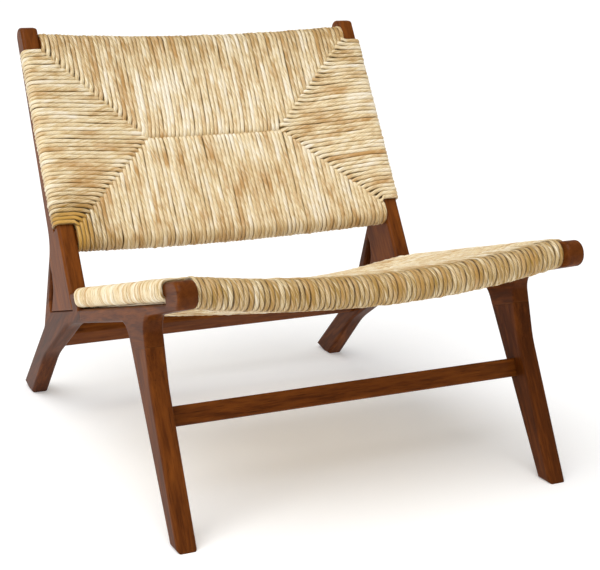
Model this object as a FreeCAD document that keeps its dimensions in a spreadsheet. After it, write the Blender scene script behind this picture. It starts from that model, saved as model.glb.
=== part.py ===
import FreeCAD, Part
import os
import re
import Sketcher

# Low lounge chair of the Lamu coast kind: two cut side frames of hardwood board,
# four bowed round rails between them, and a seat and a back woven over the rails in rush cord.
#
# Places on a side frame are worked out in three frames, all seen from the side:
#   plain   run back from the toe of the front foot, and rise from the floor
#   seat    along the seat from the centre of the front seat rail, and above that line
#   lean    up the front face of the back post from its foot, and behind that face
# The finished part stands on Z = 0, centred in X and Y, with +Y at the back.

doc = FreeCAD.newDocument("lamu_chair")
sheet = doc.addObject("Spreadsheet::Sheet", "sizes")

driving_sizes = [
    # whole chair, in millimetres and degrees
    ("overall_width", 660),
    ("board", 30.5),
    ("seat_slope", 14.57),
    ("back_lean", 31.07),
    ("seat_rise", 375),
    ("seat_setback", 15),
    ("seat_depth", 490),
    ("edge_round", 5.5),
    # nose and beam of the side rail
    ("nose_reach", 34),
    ("nose_top", 17.6),
    ("nose_under", 22),
    ("nose_flat", 0.5),
    ("shoulder_round", 7),
    ("nose_drop", 29.6),
    ("beam_top_drop", 12.5),
    ("beam_depth", 23),
    ("rail_joint_lead", 8),
    # front leg
    ("front_foot", 35.5),
    ("shin_run", 105),
    ("shin_rise", 214),
    ("shin_round", 150),
    ("throat_run", 129.5),
    ("throat_round", 26),
    ("arch_run", 212.7),
    ("arch_round", 38),
    ("leg_joint_front_share", 0.57),
    ("leg_joint_arch_share", 0.131),
    # rear leg, with its brace up to the back post
    ("haunch_reach", 50.6),
    ("haunch_round", 240),
    ("hock_share", 0.4153),
    ("hock_bulge", 18.9),
    ("hock_round", 200),
    ("knee_reach", 56.3),
    ("knee_drop", 36.7),
    ("knee_round", 20),
    ("rear_foot_reach", 324.26),
    ("rear_foot_flat", 24),
    ("heel_reach", 58.5),
    ("heel_rise", 8.5),
    ("slit_wide", 6),
    ("slit_lead", 2.3),
    ("slit_tall", 19.9),
    ("slit_round", 4),
    # back post
    ("post_setback", 11.3),
    ("post_length", 525.7),
    ("post_top", 36.7),
    ("post_top_round", 17),
    ("post_top_front_round", 7),
    ("post_waist_rise", 18.7),
    ("post_waist_step", 23.4),
    ("post_waist_flat_share", 0.11),
    ("brace_head_up", 124.5),
    ("brace_head_behind", 92.1),
    ("brace_end_tall", 20),
    ("brace_end_slant", 2.5),
    ("post_hollow_up", 68.4),
    ("post_hollow_behind", 101.5),
    ("post_hollow_round", 30),
    ("post_foot_long", 143.7),
    # batten that the seat is wrapped on, and the slot that leaves one on the post
    ("batten", 20),
    ("batten_above", 6.3),
    ("batten_tenon_thick", 7),
    ("batten_tenon_wide", 18),
    ("batten_tenon_long", 11),
    ("tenon_wall", 6),
    ("block_wall", 4),
    ("post_strip", 19),
    ("post_slot", 9.5),
    ("post_slot_low_margin", 20),
    ("post_slot_high_margin", 13),
    ("post_slot_ease", 1),
    # round rails
    ("rail_radius", 16.2),
    ("tenon_radius", 7),
    ("tenon_length", 20),
    ("seat_bow", 26),
    ("back_rail_low", 129.2),
    ("back_rail_top_margin", 29.3),
    ("back_rail_behind", 13.5),
    ("back_tenon_radius", 6),
    ("back_bow", 22),
    # straight bars between the legs
    ("stretcher_rise", 162.2),
    ("stretcher_setback", 16.3),
    ("stretcher_tall", 30),
    ("stretcher_thick", 20),
    ("stretcher_tilt", 22),
    ("cross_share", 0.51),
    ("cross_up_leg", 12),
    ("cross_set_back", 1),
    ("cross_wide", 43),
    ("cross_thick", 22),
    ("cross_tilt", 47.8),
    ("bar_round", 3),
    # dowels
    ("leg_dowel_radius", 5),
    ("leg_dowel_length", 40),
    ("leg_dowel_share", 0.27),
    ("rail_dowel_radius", 3.5),
    ("rail_dowel_length", 44),
    ("rail_dowel_pitch", 12.4),
    ("post_dowel_radius", 4.5),
    ("post_dowel_length", 44),
    ("post_dowel_buried", 13),
    ("post_dowel_front", 38),
    ("post_dowel_pitch", 62),
    ("brace_dowel_radius", 3.5),
    ("brace_dowel_length", 30),
    ("bar_dowel_radius", 4),
    ("bar_dowel_length", 36),
    ("bar_dowel_pitch", 14),
    # rush
    ("cord", 6.6),
    ("wrap_corner", 7),
    ("wrap_margin", 3.7),
    ("stuffing_gap", 1.3),
    # clearances and the overrun of every cutting tool
    ("dowel_clearance", 0.2),
    ("tenon_clearance", 0.2),
    ("rush_clearance", 0.3),
    ("overrun", 2),
    # distance under which two places found on a shape are one
    ("same_spot", 0.05),
]

# Sizes that follow from the driving ones, so that neighbouring pieces keep together.
waist_turn = ("(atan2(post_waist_step; post_waist_rise)"
              " - atan2(post_waist - post_top; post_length - post_waist_up))")
following_sizes = [
    ("nose_half", "(nose_top + nose_under) / 2"),
    ("nose_round", "nose_half - nose_flat"),
    ("shoulder_run", "tenon_radius + batten_tenon_long + tenon_wall"),
    ("block_run", "seat_depth - tenon_radius - batten_tenon_long - block_wall"),
    ("rail_joint_run", "block_run - rail_joint_lead"),
    ("leg_joint_rear_share", "1 - leg_joint_arch_share"),
    ("post_run", "seat_depth + post_setback"),
    ("post_foot_run", "post_run + post_foot_long"),
    ("slit_foot_run", "post_foot_run + slit_wide"),
    ("haunch_run", "seat_depth + haunch_reach"),
    ("knee_run", "slit_foot_run + knee_reach"),
    ("rear_foot_run", "seat_depth * cos(seat_slope) + rear_foot_reach"),
    ("brace_neck_up", "brace_head_up - brace_end_tall"),
    ("brace_neck_behind", "brace_head_behind - brace_end_slant"),
    ("post_waist_up", "brace_head_up + post_waist_rise"),
    ("post_waist", "brace_head_behind - post_waist_step"),
    ("post_waist_round", "(1 - post_waist_flat_share)"
                         " * sqrt(post_waist_rise ^ 2 + post_waist_step ^ 2) / tan(%s / 2)" % waist_turn),
    ("back_rail_high", "post_length - back_rail_top_margin"),
    ("stuffing_margin", "rail_radius + stuffing_gap"),
]

for row, (alias, size) in enumerate(driving_sizes + following_sizes, start=1):
    sheet.set("A%d" % row, alias)
    sheet.set("B%d" % row, "=" + size if (alias, size) in following_sizes else str(size))
    sheet.setAlias("B%d" % row, alias)
doc.recompute()


aliases = {alias for alias, size in driving_sizes + following_sizes}


def named(text):
    """Expression in which every name of a size carries the sheet's own name."""
    return re.sub("[a-z_]+", lambda word: "sizes." + word[0] if word[0] in aliases else word[0], text)


def size_of(text):
    return float(sheet.evalExpression(named(text)))


# Runs are measured from the toe, and the finished part is centred over its footprint.
nose_centre = "(nose_reach - nose_round) * cos(seat_slope) + (nose_under - nose_round) * sin(seat_slope)"
nose_front = "(seat_setback - (%s) - nose_round)" % nose_centre
heel_run = "(rear_foot_run + heel_reach)"
middle_run = "(%s + %s) / 2" % (nose_front, heel_run)
inner_width = "(overall_width - 2 * board)"
beam_under = "(beam_top_drop + beam_depth)"


def plain(run, rise):
    return "(%s)" % run, "(%s)" % rise


def seat(along, above):
    run = "(seat_setback + (%s) * cos(seat_slope) + (%s) * sin(seat_slope))" % (along, above)
    rise = "(seat_rise - (%s) * sin(seat_slope) + (%s) * cos(seat_slope))" % (along, above)
    return run, rise


def lean(up, behind):
    foot_run, foot_rise = seat("post_run", "-beam_top_drop")
    run = "(%s + (%s) * sin(back_lean) + (%s) * cos(back_lean))" % (foot_run, up, behind)
    rise = "(%s + (%s) * cos(back_lean) - (%s) * sin(back_lean))" % (foot_rise, up, behind)
    return run, rise


def between(start, end, share):
    return tuple("(%s + (%s) * (%s - %s))" % (first, share, last, first)
                 for first, last in zip(start, end))


def shifted(place, tilt, along, across):
    """Point moved along a line that leans back from upright by tilt, and square to it."""
    run = "(%s + (%s) * sin(%s) + (%s) * cos(%s))" % (place[0], along, tilt, across, tilt)
    rise = "(%s + (%s) * cos(%s) - (%s) * sin(%s))" % (place[1], along, tilt, across, tilt)
    return run, rise


def tilt_of(start, end):
    """Lean back from upright of the line from start to end."""
    return "(atan2(%s - %s; %s - %s) / 1 deg)" % (end[0], start[0], end[1], start[1])


def bind(item, path, expression):
    item.setExpression(path, named(expression))


def turn_back(item, tilt):
    """Turns an object about the chair's width, until its own Z leans back by tilt."""
    item.Placement.Rotation = FreeCAD.Rotation(FreeCAD.Vector(-1, 0, 0), size_of(tilt))
    bind(item, "Placement.Rotation.Angle", tilt)


def lay_across(item):
    """Lays an object's own Z along the chair's width."""
    item.Placement.Rotation = FreeCAD.Rotation(FreeCAD.Vector(0, 0, 1), FreeCAD.Vector(1, 0, 0))


def put(item, x, place, tilt=None):
    """Places an object in the chair, with its own Z leaning back by tilt."""
    if tilt is not None:
        turn_back(item, tilt)
    bind(item, "Placement.Base.x", x)
    bind(item, "Placement.Base.y", "%s - %s" % (place[0], middle_run))
    bind(item, "Placement.Base.z", place[1])


# Side frames

joint = "joint"
same_spot = size_of("same_spot")
side_places = {"left": "-overall_width / 2", "right": "overall_width / 2 - board"}


def side_sketch(body, name, corners):
    """Closed outline in the side view, each corner held by its run and rise."""
    sketch = body.newObject("Sketcher::SketchObject", name)
    plane = [item for item in body.Origin.OriginFeatures if item.Role == "YZ_Plane"][0]
    sketch.AttachmentSupport = [(plane, "")]
    sketch.MapMode = "FlatFace"
    places = [(size_of(run), size_of(rise)) for run, rise in corners]
    for start, end in zip(places, places[1:] + places[:1]):
        sketch.addGeometry(Part.LineSegment(FreeCAD.Vector(*start), FreeCAD.Vector(*end)))
    for index in range(len(places)):
        following = (index + 1) % len(places)
        sketch.addConstraint(Sketcher.Constraint("Coincident", index, 2, following, 1))
    for index, (run, rise) in enumerate(places):
        sketch.addConstraint(Sketcher.Constraint("DistanceX", -1, 1, index, 1, run))
        sketch.setExpression("Constraints[%d]" % (sketch.ConstraintCount - 1), named(corners[index][0]))
        sketch.addConstraint(Sketcher.Constraint("DistanceY", -1, 1, index, 1, rise))
        sketch.setExpression("Constraints[%d]" % (sketch.ConstraintCount - 1), named(corners[index][1]))
    return sketch, places


def near(point, place):
    return abs(point.y - place[0]) < same_spot and abs(point.z - place[1]) < same_spot


def on_side(point, start, end):
    """True where a point lies on the straight side from start to end."""
    along = FreeCAD.Vector(0, end[0] - start[0], end[1] - start[1])
    offset = FreeCAD.Vector(0, point.y - start[0], point.z - start[1])
    share = offset.dot(along) / along.dot(along)
    return 0 < share < 1 and (offset - along * share).Length < same_spot


def edges_as_long_as(shape, length):
    """Names of the edges that run the whole of a given length."""
    wanted = size_of(length)
    return ["Edge%d" % number for number, edge in enumerate(shape.Edges, start=1)
            if abs(edge.Length - wanted) < same_spot]


def side_board(name, side, outline):
    """Board of one side frame: its outline, its rounded corners and its eased edges.

    Each entry of the outline is a place, the name of its corner's radius or None, and
    joint where the side that follows meets another piece and keeps sharp edges.
    """
    body = doc.addObject("PartDesign::Body", name)
    body.Label = name
    sketch, places = side_sketch(body, name + "_outline", [entry[0] for entry in outline])
    pad = body.newObject("PartDesign::Pad", name + "_board")
    pad.Profile = sketch
    bind(pad, "Length", "board")
    doc.recompute()
    tip = pad
    radii = sorted({entry[1] for entry in outline if entry[1]})
    for radius in radii:
        wanted = [place for place, entry in zip(places, outline) if entry[1] == radius]
        edges = []
        for number, edge in enumerate(tip.Shape.Edges, start=1):
            ends = [vertex.Point for vertex in edge.Vertexes]
            if any(all(near(point, place) for point in ends) for place in wanted):
                edges.append("Edge%d" % number)
        tip = rounded(body, tip, name + "_" + radius, edges, radius)
    joints = [(places[index], places[(index + 1) % len(places)])
              for index, entry in enumerate(outline) if entry[2] == joint]
    thickness = size_of("board")
    eased = []
    for number, edge in enumerate(tip.Shape.Edges, start=1):
        middle = edge.valueAt((edge.FirstParameter + edge.LastParameter) / 2)
        on_face = abs(middle.x) < same_spot or abs(middle.x - thickness) < same_spot
        if on_face and not any(on_side(middle, start, end) for start, end in joints):
            eased.append("Edge%d" % number)
    rounded(body, tip, name + "_eased", eased, "edge_round")
    put(body, side_places[side], ("0", "0"))
    return body


def rounded(body, base, name, edges, radius):
    fillet = body.newObject("PartDesign::Fillet", name)
    fillet.Base = (base, edges)
    bind(fillet, "Radius", radius)
    doc.recompute()
    return fillet


def drill(body, name, place, tilt, radius, depth, x="board / 2"):
    """Round hole sunk from a place in the direction that leans back by tilt."""
    lead = "(overrun + %s)" % radius
    hole = body.newObject("PartDesign::SubtractiveCylinder", name)
    bind(hole, "Radius", radius)
    bind(hole, "Height", "%s + %s" % (depth, lead))
    turn_back(hole, tilt)
    mouth = shifted(place, tilt, "-" + lead, "0")
    bind(hole, "Placement.Base.x", x)
    bind(hole, "Placement.Base.y", mouth[0])
    bind(hole, "Placement.Base.z", mouth[1])


def drill_inner(body, side, name, place, radius, depth):
    """Round hole sunk square into the inner face of a side frame."""
    hole = body.newObject("PartDesign::SubtractiveCylinder", name)
    bind(hole, "Radius", radius)
    bind(hole, "Height", "%s + overrun" % depth)
    lay_across(hole)
    bind(hole, "Placement.Base.x", "board - %s" % depth if side == "left" else "-overrun")
    bind(hole, "Placement.Base.y", place[0])
    bind(hole, "Placement.Base.z", place[1])


def mortise(body, name, along, way):
    """Mortise for a batten's tenon, sunk forward (-1) or back (1) from a shoulder."""
    clear = "tenon_clearance"
    depth = "(batten_tenon_long + tenon_clearance)"
    near_end = "%s - overrun" % along if way > 0 else "%s - %s" % (along, depth)
    hole = body.newObject("PartDesign::SubtractiveBox", name)
    bind(hole, "Length", "batten_tenon_wide + 2 * %s" % clear)
    bind(hole, "Width", "%s + overrun" % depth)
    bind(hole, "Height", "batten_tenon_thick + 2 * %s" % clear)
    turn_back(hole, "seat_slope")
    corner = seat(near_end, "batten_above - batten_tenon_thick / 2 - %s" % clear)
    bind(hole, "Placement.Base.x", "board / 2 - batten_tenon_wide / 2 - %s" % clear)
    bind(hole, "Placement.Base.y", corner[0])
    bind(hole, "Placement.Base.z", corner[1])


# The places where the pieces of a side frame meet, shared by both pieces of each joint.
foot_rear = plain("front_foot", "0")
shin = plain("shin_run", "shin_rise")
throat = seat("throat_run", "-nose_drop")
arch = seat("arch_run", "-" + beam_under)
leg_joint_front = between(shin, throat, "leg_joint_front_share")
leg_joint_rear = between(foot_rear, arch, "leg_joint_rear_share")
leg_joint_tilt = tilt_of(leg_joint_rear, leg_joint_front) + " + 90"
batten_top = "(batten_above + batten / 2)"
block_rise = "(beam_top_drop + %s)" % batten_top
post_front_at_block = seat("post_run + %s * tan(back_lean - seat_slope)" % block_rise, batten_top)
brace_head = lean("brace_head_up", "brace_head_behind")
brace_neck = lean("brace_neck_up", "brace_neck_behind")
knee = seat("knee_run", "-knee_drop")
haunch = seat("haunch_run", "-" + beam_under)
rear_foot = plain("rear_foot_run", "0")
rear_leg_tilt = tilt_of(rear_foot, haunch)
hock = shifted(between(rear_foot, haunch, "hock_share"), rear_leg_tilt, "0", "hock_bulge")
brace_joint = between(brace_neck, brace_head, "0.5")


def side_rail(side):
    """Upper front piece of a side frame: nose, beam and the head of the front leg."""
    name = side + "_side_rail"
    body = side_board(name, side, [
        (seat("-nose_reach", "nose_top"), "nose_round", None),
        (seat("-nose_reach", "-nose_under"), "nose_round", None),
        (throat, "throat_round", None),
        (leg_joint_front, None, joint),
        (leg_joint_rear, None, None),
        (arch, "arch_round", None),
        (seat("rail_joint_run", "-" + beam_under), None, joint),
        (seat("rail_joint_run", "-beam_top_drop"), None, None),
        (seat("shoulder_run", "-beam_top_drop"), None, None),
        (seat("shoulder_run", "nose_top"), "shoulder_round", None),
    ])
    drill_inner(body, side, name + "_tenon_hole", seat("0", "0"),
                "tenon_radius + tenon_clearance", "(tenon_length + tenon_clearance)")
    mortise(body, name + "_mortise", "shoulder_run", -1)
    drill_leg_joint(body, name, leg_joint_tilt)
    drill_rail_joint(body, name, "seat_slope - 90")
    return body


def front_leg(side):
    """Front leg below its joint with the side rail, tapered to the foot."""
    name = side + "_front_leg"
    body = side_board(name, side, [
        (plain("0", "0"), None, None),
        (foot_rear, None, None),
        (leg_joint_rear, None, joint),
        (leg_joint_front, None, None),
        (shin, "shin_round", None),
    ])
    drill_leg_joint(body, name, leg_joint_tilt + " + 180")
    drill_bar(body, side, name, stretcher, "stretcher_tilt")
    return body


def rear_leg(side):
    """Rear leg: the back of the seat beam, the raked leg and the brace to the post."""
    name = side + "_rear_leg"
    body = side_board(name, side, [
        (seat("rail_joint_run", "-" + beam_under), None, None),
        (haunch, "haunch_round", None),
        (hock, "hock_round", None),
        (rear_foot, None, None),
        (plain("rear_foot_run + rear_foot_flat", "0"), None, None),
        (plain(heel_run, "heel_rise"), None, None),
        (knee, "knee_round", None),
        (brace_head, None, joint),
        (brace_neck, None, None),
        (seat("slit_foot_run - slit_lead", "slit_tall - beam_top_drop"), None, None),
        (seat("slit_foot_run", "-beam_top_drop"), "slit_round", joint),
        (seat("post_run", "-beam_top_drop"), None, joint),
        (post_front_at_block, None, None),
        (seat("block_run", batten_top), None, None),
        (seat("block_run", "-beam_top_drop"), None, None),
        (seat("rail_joint_run", "-beam_top_drop"), None, joint),
    ])
    drill_inner(body, side, name + "_tenon_hole", seat("seat_depth", "0"),
                "tenon_radius + tenon_clearance", "(tenon_length + tenon_clearance)")
    mortise(body, name + "_mortise", "block_run", 1)
    drill_rail_joint(body, name, "seat_slope + 90")
    drill_post_foot(body, name, "seat_slope + 180", "post_dowel_buried")
    drill_brace(body, name, brace_tilt + " + 180")
    drill_bar(body, side, name, cross_bar, "90 + cross_tilt")
    return body


def back_post(side):
    """Raked back post, wide at the waist, with the slot that its rush is wrapped through."""
    name = side + "_back_post"
    body = side_board(name, side, [
        (lean("0", "0"), None, joint),
        (seat("post_foot_run", "-beam_top_drop"), None, None),
        (lean("post_hollow_up", "post_hollow_behind"), "post_hollow_round", None),
        (brace_neck, None, joint),
        (brace_head, None, None),
        (lean("post_waist_up", "post_waist"), "post_waist_round", None),
        (lean("post_length + post_top * tan(back_lean)", "post_top"), "post_top_round", None),
        (lean("post_length", "0"), "post_top_front_round", None),
    ])
    post_slot(body, name + "_slot")
    for label, up in (("low", "back_rail_low"), ("high", "back_rail_high")):
        drill_inner(body, side, "%s_tenon_hole_%s" % (name, label), lean(up, "back_rail_behind"),
                    "back_tenon_radius + tenon_clearance", "(tenon_length + tenon_clearance)")
    drill_post_foot(body, name, "seat_slope", "post_dowel_length - post_dowel_buried")
    drill_brace(body, name, brace_tilt)
    return body


def post_slot(body, name):
    """Slot through a post, behind the strip that the rush is wrapped on."""
    low = "back_rail_low + post_slot_low_margin"
    high = "back_rail_high - post_slot_high_margin + post_slot_ease"
    sketch, places = side_sketch(body, name + "_outline", [
        lean(low, "post_strip"),
        lean(low, "post_strip + post_slot"),
        lean(high, "post_strip + post_slot"),
        lean(high, "post_strip"),
    ])
    pocket = body.newObject("PartDesign::Pocket", name)
    pocket.Profile = sketch
    pocket.Type = "ThroughAll"
    pocket.Midplane = True


def drill_leg_joint(body, name, tilt):
    for label, share in leg_dowel_shares:
        drill(body, "%s_leg_dowel_%s" % (name, label),
              between(leg_joint_front, leg_joint_rear, share), tilt,
              "leg_dowel_radius + dowel_clearance", "(leg_dowel_length / 2 + dowel_clearance)")


def drill_rail_joint(body, name, tilt):
    for label, x in rail_dowel_places:
        drill(body, "%s_rail_dowel_%s" % (name, label), rail_dowel, tilt,
              "rail_dowel_radius + dowel_clearance", "(rail_dowel_length / 2 + dowel_clearance)", x)


def drill_post_foot(body, name, tilt, depth):
    for label, along in post_dowel_runs:
        drill(body, "%s_post_dowel_%s" % (name, label), seat(along, "-beam_top_drop"), tilt,
              "post_dowel_radius + dowel_clearance", "(%s + dowel_clearance)" % depth)


def drill_brace(body, name, tilt):
    drill(body, name + "_brace_dowel", brace_joint, tilt,
          "brace_dowel_radius + dowel_clearance", "(brace_dowel_length / 2 + dowel_clearance)")


def drill_bar(body, side, name, place, tilt):
    for label, way in (("low", "-"), ("high", "")):
        drill_inner(body, side, "%s_bar_dowel_%s" % (name, label),
                    shifted(place, tilt, way + "bar_dowel_pitch / 2", "0"),
                    "bar_dowel_radius + dowel_clearance", "(bar_dowel_length / 2 + dowel_clearance)")


leg_dowel_shares = (("front", "leg_dowel_share"), ("rear", "(1 - leg_dowel_share)"))
rail_dowel = seat("rail_joint_run", "-beam_top_drop - beam_depth / 2")
rail_dowel_places = (("outer", "board / 2 - rail_dowel_pitch / 2"),
                     ("inner", "board / 2 + rail_dowel_pitch / 2"))
post_dowel_runs = (("front", "post_run + post_dowel_front"),
                   ("rear", "post_run + post_dowel_front + post_dowel_pitch"))
brace_tilt = tilt_of(knee, brace_head)
leg_rear_run = "(front_foot + (%s - front_foot) * stretcher_rise / %s)" % arch
stretcher = plain(leg_rear_run + " - stretcher_setback", "stretcher_rise")
cross_bar = shifted(between(hock, knee, "cross_share"), rear_leg_tilt, "cross_up_leg", "cross_set_back")


# Seat battens: the strips over the beams that carry the side wraps of the seat


def seat_batten(side):
    """Flat strip with a tenon at each end, between the nose and the block before the post."""
    name = side + "_seat_batten"
    body = doc.addObject("PartDesign::Body", name)
    body.Label = name
    strip = beam_between(body, name + "_strip", "board", "shoulder_run", "block_run",
                         "batten_above - batten / 2", "batten")
    doc.recompute()
    long_edges = edges_as_long_as(strip.Shape, "block_run - shoulder_run")
    rounded(body, strip, name + "_eased", long_edges, "edge_round")
    beam_between(body, name + "_tenons", "batten_tenon_wide",
                 "shoulder_run - batten_tenon_long", "block_run + batten_tenon_long",
                 "batten_above - batten_tenon_thick / 2", "batten_tenon_thick")
    put(body, side_places[side], ("0", "0"))
    return body


def beam_between(body, name, wide, start, end, low, tall):
    """Square bar along the seat line, centred in the board's thickness."""
    bar = body.newObject("PartDesign::AdditiveBox", name)
    bind(bar, "Length", wide)
    bind(bar, "Width", "(%s) - (%s)" % (end, start))
    bind(bar, "Height", tall)
    turn_back(bar, "seat_slope")
    corner = seat(start, low)
    bind(bar, "Placement.Base.x", "board / 2 - (%s) / 2" % wide)
    bind(bar, "Placement.Base.y", corner[0])
    bind(bar, "Placement.Base.z", corner[1])
    return bar


# Round rails, bowed so that the rush lies in a shallow hollow


def bow_radius(bow):
    return "(%s * %s / (8 * %s) + %s / 2)" % (inner_width, inner_width, bow, bow)


def ring(name, place, tilt, bow, radius):
    """Full ring whose lowest stretch is the bowed line between the side frames."""
    item = doc.addObject("Part::Torus", name)
    bind(item, "Radius1", bow_radius(bow))
    bind(item, "Radius2", radius)
    put(item, "0", shifted(place, tilt, "0", "%s - %s" % (bow, bow_radius(bow))), tilt)
    return item


def span_box(name, length):
    """Box that keeps only what lies between two upright planes across the chair."""
    item = doc.addObject("Part::Box", name)
    bind(item, "Length", length)
    bind(item, "Width", "%s - %s" % (heel_run, nose_front))
    bind(item, "Height", "seat_rise + post_run + post_length")
    bind(item, "Placement.Base.x", "-(%s) / 2" % length)
    bind(item, "Placement.Base.y", "%s - %s" % (nose_front, middle_run))
    return item


def boolean(kind, name, first, second):
    item = doc.addObject("Part::" + kind, name)
    item.Base = first
    item.Tool = second
    return item


def joined(name, items):
    item = doc.addObject("Part::MultiFuse", name)
    item.Shapes = items
    return item


def bowed_rail(name, place, tilt, bow, tenon):
    """Round rail steam bent to a shallow bow, with a straight round tenon at each end."""
    whole = ring(name + "_ring", place, tilt, bow, "rail_radius")
    shaft = boolean("Common", name + "_shaft", whole, span_box(name + "_span", inner_width))
    tenons = []
    for label, x in (("left", "-%s / 2 - tenon_length" % inner_width),
                     ("right", "%s / 2 - rail_radius" % inner_width)):
        cylinder = doc.addObject("Part::Cylinder", "%s_%s_tenon" % (name, label))
        bind(cylinder, "Radius", tenon)
        bind(cylinder, "Height", "tenon_length + rail_radius")
        lay_across(cylinder)
        put(cylinder, x, place)
        tenons.append(cylinder)
    rail = joined(name, [shaft] + tenons)
    rail.Label = name
    return rail


# Straight bars between the front legs and between the rear legs


def cross_piece(name, place, tilt, tall, thick):
    """Square-edged bar with eased corners, butted between the legs on dowels."""
    body = doc.addObject("PartDesign::Body", name)
    body.Label = name
    half_tall = "(%s / 2)" % tall
    half_thick = "(%s / 2)" % thick
    sketch, places = side_sketch(body, name + "_outline", [
        shifted(place, tilt, "-" + half_tall, "-" + half_thick),
        shifted(place, tilt, "-" + half_tall, half_thick),
        shifted(place, tilt, half_tall, half_thick),
        shifted(place, tilt, half_tall, "-" + half_thick),
    ])
    pad = body.newObject("PartDesign::Pad", name + "_bar")
    pad.Profile = sketch
    bind(pad, "Length", inner_width)
    doc.recompute()
    rounded(body, pad, name + "_eased", edges_as_long_as(pad.Shape, inner_width), "bar_round")
    for label, x in (("left", "0"), ("right", inner_width)):
        for level, way in (("low", "-"), ("high", "")):
            bar_dowel_hole(body, "%s_%s_%s" % (name, label, level), x, label,
                           shifted(place, tilt, way + "bar_dowel_pitch / 2", "0"))
    put(body, "-%s / 2" % inner_width, ("0", "0"))
    return body


def bar_dowel_hole(body, name, x, label, place):
    depth = "(bar_dowel_length / 2 + dowel_clearance)"
    hole = body.newObject("PartDesign::SubtractiveCylinder", name)
    bind(hole, "Radius", "bar_dowel_radius + dowel_clearance")
    bind(hole, "Height", depth + " + overrun")
    lay_across(hole)
    bind(hole, "Placement.Base.x", "-overrun" if label == "left" else "%s - %s" % (x, depth))
    bind(hole, "Placement.Base.y", place[0])
    bind(hole, "Placement.Base.z", place[1])


# Dowels: one group for each kind, a solid for each dowel


def dowel(name, radius, length, x, place, tilt):
    item = doc.addObject("Part::Cylinder", name)
    bind(item, "Radius", radius)
    bind(item, "Height", length)
    put(item, x, place, tilt)
    return item


def group(name, items):
    item = doc.addObject("Part::Compound", name)
    item.Links = items
    item.Label = name
    return item


def frame_dowels():
    leg, rail, post, brace = [], [], [], []
    for side, edge in side_places.items():
        middle = "%s + board / 2" % edge
        for label, share in leg_dowel_shares:
            start = shifted(between(leg_joint_front, leg_joint_rear, share), leg_joint_tilt,
                            "-leg_dowel_length / 2", "0")
            leg.append(dowel("%s_leg_dowel_%s" % (side, label), "leg_dowel_radius",
                             "leg_dowel_length", middle, start, leg_joint_tilt))
        for label, x in rail_dowel_places:
            start = shifted(rail_dowel, "(seat_slope + 90)", "-rail_dowel_length / 2", "0")
            rail.append(dowel("%s_rail_dowel_%s" % (side, label), "rail_dowel_radius",
                              "rail_dowel_length", "%s + %s" % (edge, x), start, "seat_slope + 90"))
        for label, along in post_dowel_runs:
            start = seat(along, "-beam_top_drop - post_dowel_buried")
            post.append(dowel("%s_post_dowel_%s" % (side, label), "post_dowel_radius",
                              "post_dowel_length", middle, start, "seat_slope"))
        start = shifted(brace_joint, brace_tilt, "-brace_dowel_length / 2", "0")
        brace.append(dowel("%s_brace_dowel" % side, "brace_dowel_radius",
                           "brace_dowel_length", middle, start, brace_tilt))
    group("leg_joint_dowels", leg)
    group("seat_rail_dowels", rail)
    group("post_foot_dowels", post)
    group("brace_dowels", brace)


def bar_dowels(name, place, tilt):
    dowels = []
    for side, x in (("left", "-%s / 2 - bar_dowel_length / 2" % inner_width),
                    ("right", "%s / 2 - bar_dowel_length / 2" % inner_width)):
        for level, way in (("low", "-"), ("high", "")):
            item = doc.addObject("Part::Cylinder", "%s_%s_%s" % (name, side, level))
            bind(item, "Radius", "bar_dowel_radius")
            bind(item, "Height", "bar_dowel_length")
            lay_across(item)
            put(item, x, shifted(place, tilt, way + "bar_dowel_pitch / 2", "0"))
            dowels.append(item)
    group(name, dowels)


# Rush: each panel is a shell of cord around its rails and side strips, stuffed inside


def bowed_slab(name, place, tilt, long, bow, half, width):
    """Slab curved like the rails, with its length along the direction given by tilt."""
    skins = []
    for label, radius in (("outer", "%s + %s" % (bow_radius(bow), half)),
                          ("inner", "%s - %s" % (bow_radius(bow), half))):
        skin = doc.addObject("Part::Cylinder", "%s_%s" % (name, label))
        bind(skin, "Radius", radius)
        bind(skin, "Height", long)
        put(skin, "0", shifted(place, tilt, "0", "%s - %s" % (bow, bow_radius(bow))), tilt)
        skins.append(skin)
    shell = boolean("Cut", name + "_shell", skins[0], skins[1])
    return boolean("Common", name + "_slab", shell, span_box(name + "_span", width))


def side_block(name, side, start, tilt, long, deep, gap, rounding=None):
    """Block round one side strip, from its inner face out past the frame by a gap."""
    item = doc.addObject("Part::Box", "%s_%s" % (name, side))
    bind(item, "Length", "board + 2 * (%s)" % gap)
    bind(item, "Width", deep)
    bind(item, "Height", long)
    put(item, "%s - (%s)" % (side_places[side], gap), start, tilt)
    if rounding is None:
        return item
    doc.recompute()
    fillet = doc.addObject("Part::Fillet", "%s_%s_round" % (name, side))
    fillet.Base = item
    reach = size_of(rounding)
    fillet.Edges = [(int(edge.strip("Edge")), reach, reach)
                    for edge in edges_as_long_as(item.Shape, long)]
    return fillet


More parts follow.
